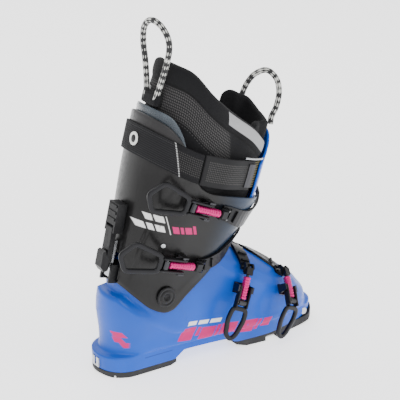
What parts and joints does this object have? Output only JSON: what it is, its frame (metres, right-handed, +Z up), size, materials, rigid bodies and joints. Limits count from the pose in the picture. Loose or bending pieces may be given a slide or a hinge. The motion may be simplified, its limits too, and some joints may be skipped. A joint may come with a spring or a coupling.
{
  "type": "ski_boot",
  "caption": "Right alpine touring ski boot: lower shell, hinged cuff with walk lock, ratchet buckles, power strap and padded liner.",
  "frame": {"origin": "Centre of the heel's bearing face, 38 mm ahead of the rear of the sole. X runs forward along the sole, Y to the inner side of the right foot, Z up.", "axes": "X forward, Y to the inner (big toe) side, Z up"},
  "size_m": [0.3068, 0.1421, 0.4172],
  "materials": {
    "blue_plastic": "injection moulded, satin",
    "cuff_plastic": "smoky charcoal, satin",
    "spoiler_plastic": "tinted, slightly clear",
    "black_plastic": "satin black",
    "white_plastic": "moulded",
    "sole_rubber": "dull, lugged",
    "liner_fabric": "foam lined fabric",
    "pale_fabric": "woven tab",
    "webbing": "ribbed webbing",
    "elastic": "ribbed elastic",
    "cord": "braided cord",
    "buckle_black": "satin black over magnesium",
    "barrel_magenta": "anodised look",
    "steel": "stainless",
    "dark_steel": "dark coated steel"
  },
  "bodies": {
    "shell": {"lower_shell": "blue_plastic", "boot_board": "black_plastic", "foot_liner": "liner_fabric", "heel_sole": "sole_rubber", "toe_sole": "sole_rubber", "toe_wear_plate": "white_plastic", "heel_insert": "steel", "toe_insert_inner": "steel", "toe_insert_outer": "steel", "instep_buckle_base": "dark_steel", "toe_buckle_base": "dark_steel", "instep_catch": "buckle_black", "toe_catch": "buckle_black", "pivot_bolt_outer": "black_plastic", "pivot_bolt_inner": "black_plastic", "spine_bracket": "black_plastic"},
    "cuff_group": {"cuff": "cuff_plastic", "cuff_flap": "blue_plastic", "spoiler": "spoiler_plastic", "leg_liner": "liner_fabric", "tongue": "liner_fabric", "strap_webbing": "webbing", "strap_overlay": "webbing", "strap_elastic": "elastic", "strap_tab": "black_plastic", "strap_hook": "steel", "strap_rivet_spine": "white_plastic", "strap_rivet_inner": "dark_steel", "cuff_screw": "steel", "upper_buckle_base": "dark_steel", "lower_buckle_base": "dark_steel", "upper_catch": "buckle_black", "lower_catch": "buckle_black", "walk_housing": "black_plastic", "rear_loop": "cord", "tongue_loop": "cord", "rear_tab": "pale_fabric"},
    "upper_lever_group": {"upper_lever": "buckle_black"},
    "upper_bail_group": {"upper_bail": "steel"},
    "upper_barrel_group": {"upper_barrel": "barrel_magenta"},
    "upper_hook_group": {"upper_hook": "buckle_black"},
    "lower_lever_group": {"lower_lever": "buckle_black"},
    "lower_bail_group": {"lower_bail": "steel"},
    "lower_barrel_group": {"lower_barrel": "barrel_magenta"},
    "lower_hook_group": {"lower_hook": "buckle_black"},
    "instep_lever_group": {"instep_lever": "buckle_black"},
    "instep_bail_group": {"instep_bail": "steel"},
    "instep_barrel_group": {"instep_barrel": "barrel_magenta"},
    "instep_hook_group": {"instep_hook": "buckle_black"},
    "toe_lever_group": {"toe_lever": "buckle_black"},
    "toe_bail_group": {"toe_bail": "steel"},
    "toe_barrel_group": {"toe_barrel": "barrel_magenta"},
    "toe_hook_group": {"toe_hook": "buckle_black"},
    "walk_lever_group": {"walk_lever": "black_plastic"},
    "lock_bar_group": {"lock_bar": "steel"}
  },
  "joints": [
    {"name": "cuff_flex", "type": "hinge", "parent": "shell", "child": "cuff_group", "pos_m": [0.028, 0, 0.101], "axis": [0, 1, 0], "range_deg": [-14, 5]},
    {"name": "upper_lever_turn", "type": "hinge", "parent": "cuff_group", "child": "upper_lever_group", "pos_m": [0.07319, -0.07058, 0.20355], "axis": [0.3957, -0.0681, 0.9159], "range_deg": [0, 100]},
    {"name": "upper_bail_turn", "type": "hinge", "parent": "upper_lever_group", "child": "upper_bail_group", "pos_m": [0.053, -0.07004, 0.21231], "axis": [0.3957, -0.0681, 0.9159], "range_deg": [-100, 0]},
    {"name": "upper_barrel_turn", "type": "hinge", "parent": "upper_bail_group", "child": "upper_barrel_group", "pos_m": [0.0732, -0.06978, 0.20361], "axis": [0.9182, 0.012, -0.3958], "range_deg": [-720, 720]},
    {"name": "upper_hook_slide", "type": "slide", "parent": "upper_bail_group", "child": "upper_hook_group", "axis": [0.9182, 0.012, -0.3958], "range_m": [-0.0021, 0.0021]},
    {"name": "lower_lever_turn", "type": "hinge", "parent": "cuff_group", "child": "lower_lever_group", "pos_m": [0.04168, -0.06399, 0.14086], "axis": [0.3047, -0.0982, 0.9474], "range_deg": [0, 100]},
    {"name": "lower_bail_turn", "type": "hinge", "parent": "lower_lever_group", "child": "lower_bail_group", "pos_m": [0.02075, -0.06335, 0.14766], "axis": [0.3047, -0.0982, 0.9474], "range_deg": [-100, 0]},
    {"name": "lower_barrel_turn", "type": "hinge", "parent": "lower_bail_group", "child": "lower_barrel_group", "pos_m": [0.0417, -0.0632, 0.14094], "axis": [0.9521, 0.0067, -0.3056], "range_deg": [-720, 720]},
    {"name": "lower_hook_slide", "type": "slide", "parent": "lower_bail_group", "child": "lower_hook_group", "axis": [0.9521, 0.0067, -0.3056], "range_m": [-0.0021, 0.0021]},
    {"name": "instep_lever_turn", "type": "hinge", "parent": "shell", "child": "instep_lever_group", "pos_m": [0.13267, -0.06074, 0.08651], "axis": [-0.9088, 0.0994, 0.4052], "range_deg": [0, 100]},
    {"name": "instep_bail_turn", "type": "hinge", "parent": "instep_lever_group", "child": "instep_bail_group", "pos_m": [0.12599, -0.0634, 0.0722], "axis": [-0.9088, 0.0994, 0.4052], "range_deg": [-100, 0]},
    {"name": "instep_barrel_turn", "type": "hinge", "parent": "instep_bail_group", "child": "instep_barrel_group", "pos_m": [0.13267, -0.05996, 0.08632], "axis": [0.4172, 0.215, 0.883], "range_deg": [0, 600]},
    {"name": "instep_hook_slide", "type": "slide", "parent": "instep_bail_group", "child": "instep_hook_group", "axis": [0.4172, 0.215, 0.883], "range_m": [0, 0.0017]},
    {"name": "toe_lever_turn", "type": "hinge", "parent": "shell", "child": "toe_lever_group", "pos_m": [0.20321, -0.05542, 0.0677], "axis": [-0.8816, -0.1493, 0.4477], "range_deg": [0, 100]},
    {"name": "toe_bail_turn", "type": "hinge", "parent": "toe_lever_group", "child": "toe_bail_group", "pos_m": [0.199, -0.06556, 0.05604], "axis": [-0.8816, -0.1493, 0.4477], "range_deg": [-100, 0]},
    {"name": "toe_barrel_turn", "type": "hinge", "parent": "toe_bail_group", "child": "toe_barrel_group", "pos_m": [0.20289, -0.05484, 0.06726], "axis": [0.2426, 0.6702, 0.7014], "range_deg": [-600, 0]},
    {"name": "toe_hook_slide", "type": "slide", "parent": "toe_bail_group", "child": "toe_hook_group", "axis": [0.2426, 0.6702, 0.7014], "range_m": [-0.0017, 0]},
    {"name": "walk_lever_turn", "type": "hinge", "parent": "cuff_group", "child": "walk_lever_group", "pos_m": [-0.0127, 0, 0.17865], "axis": [0, 1, 0], "range_deg": [0, 100]},
    {"name": "lock_bar_slide", "type": "slide", "parent": "cuff_group", "child": "lock_bar_group", "axis": [0.2334, 0, 0.9724], "range_m": [0, 0.007]}
  ],
  "couplings": [
    {"joint": "upper_bail_turn", "follows": "upper_lever_turn", "ratio": -1},
    {"joint": "upper_hook_slide", "follows": "upper_barrel_turn", "m_per_rad": 0.00015915},
    {"joint": "lower_bail_turn", "follows": "lower_lever_turn", "ratio": -1},
    {"joint": "lower_hook_slide", "follows": "lower_barrel_turn", "m_per_rad": 0.00015915},
    {"joint": "instep_bail_turn", "follows": "instep_lever_turn", "ratio": -1},
    {"joint": "instep_hook_slide", "follows": "instep_barrel_turn", "m_per_rad": 0.00015915},
    {"joint": "toe_bail_turn", "follows": "toe_lever_turn", "ratio": -1},
    {"joint": "toe_hook_slide", "follows": "toe_barrel_turn", "m_per_rad": 0.00015915},
    {"joint": "lock_bar_slide", "follows": "walk_lever_turn", "m_per_rad": 0.0039534}
  ]
}
